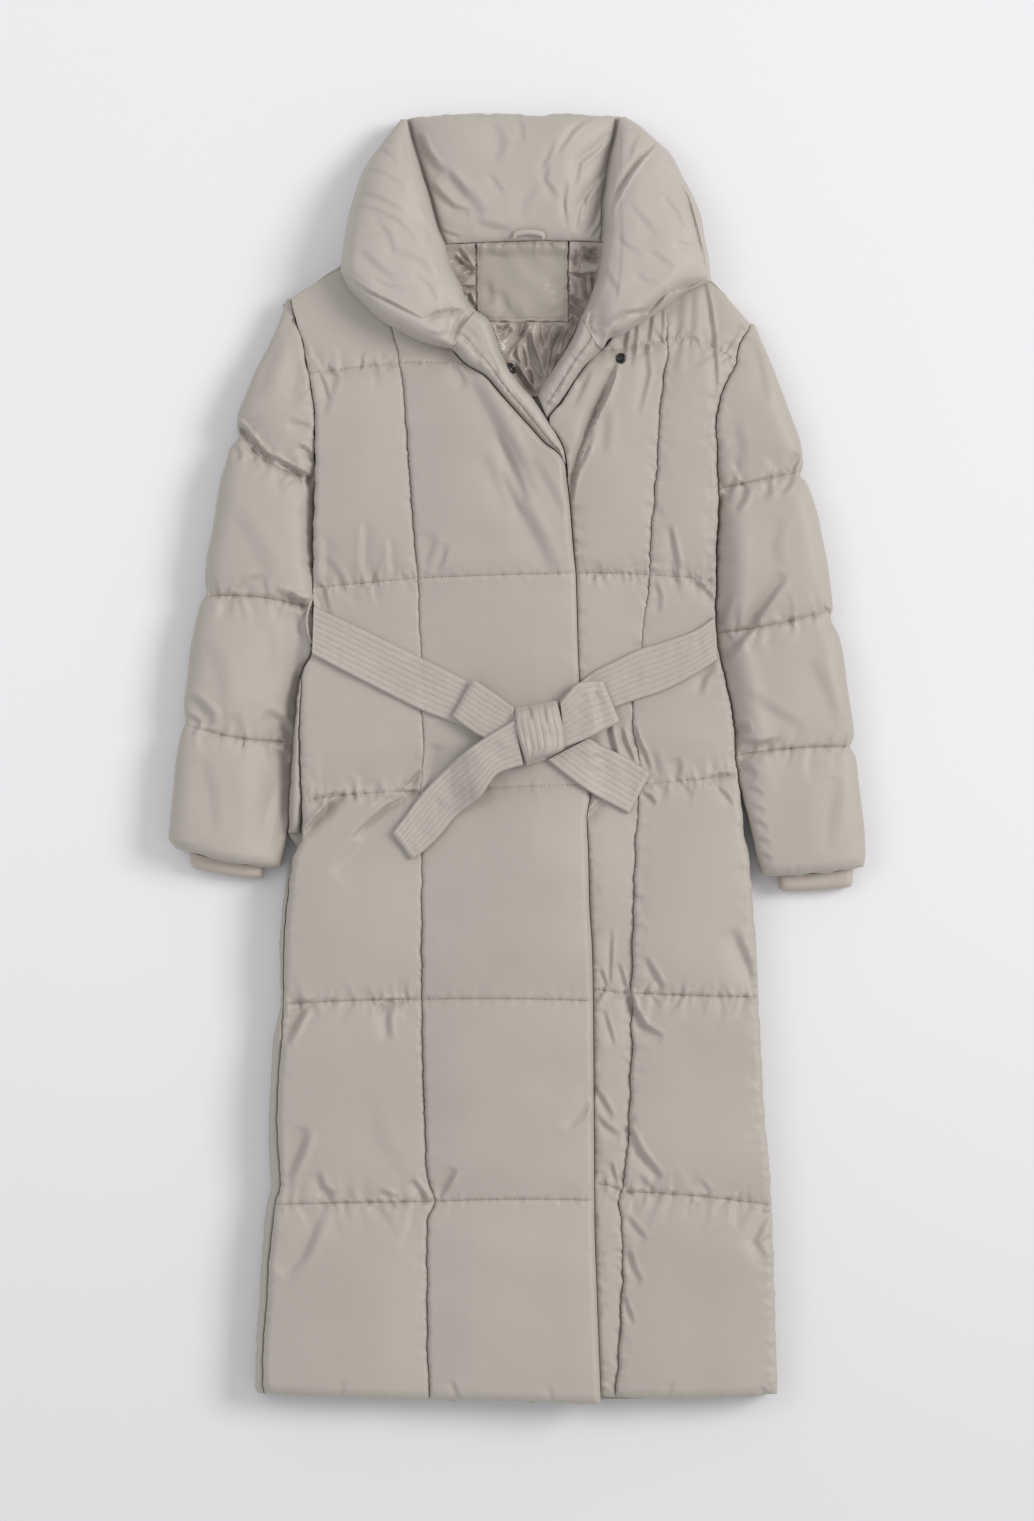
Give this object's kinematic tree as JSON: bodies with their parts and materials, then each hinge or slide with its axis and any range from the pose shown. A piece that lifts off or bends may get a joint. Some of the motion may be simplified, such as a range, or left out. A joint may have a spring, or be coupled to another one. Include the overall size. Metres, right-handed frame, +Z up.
{
  "type": "long puffer coat",
  "caption": "Ankle-length wrap puffer coat laid flat: quilted panels, turned-out collar, facings, padded sleeves, inner cuffs and a tied quilted belt.",
  "frame": {"origin": "centre of the bounding box's footprint, on the surface that the coat lies on", "axes": "+X to the wearer's left, +Y from the hem to the collar, +Z up from the surface through the coat's front"},
  "size_m": [0.7256, 1.3404, 0.0858],
  "materials": {
    "shell": "matt down-proof polyester taffeta, taupe",
    "collar_face": "the same taffeta on the turned-out collar, a little lighter",
    "cuff_knit": "matt inner cuff cloth",
    "satin_lining": "satin lining, soft sheen",
    "belt": "the same taffeta, stitched in rows",
    "snap_metal": "black enamelled press stud"
  },
  "bodies": {
    "root": {"back_panel": "shell", "front_side_right": "shell", "front_centre_right": "shell", "front_centre_left": "shell", "front_side_left": "shell", "pocket_welt_right": "shell", "sleeve_right_upper": "shell", "sleeve_right_under": "shell", "sleeve_left_upper": "shell", "sleeve_left_under": "shell", "cuff_right": "cuff_knit", "cuff_left": "cuff_knit", "collar_back": "collar_face", "collar_wing_right": "collar_face", "collar_wing_left": "collar_face", "front_facing_right": "collar_face", "front_facing_left": "collar_face", "back_lining": "satin_lining", "neck_patch": "shell", "hanger_loop": "collar_face", "belt_run_right": "belt", "belt_run_left": "belt", "belt_ear_right": "belt", "belt_ear_left": "belt", "belt_tail_right": "belt", "belt_tail_left": "belt", "belt_knot": "belt", "belt_carrier_right": "belt", "snap_ball": "snap_metal", "snap_socket": "snap_metal"}
  },
  "joints": []
}
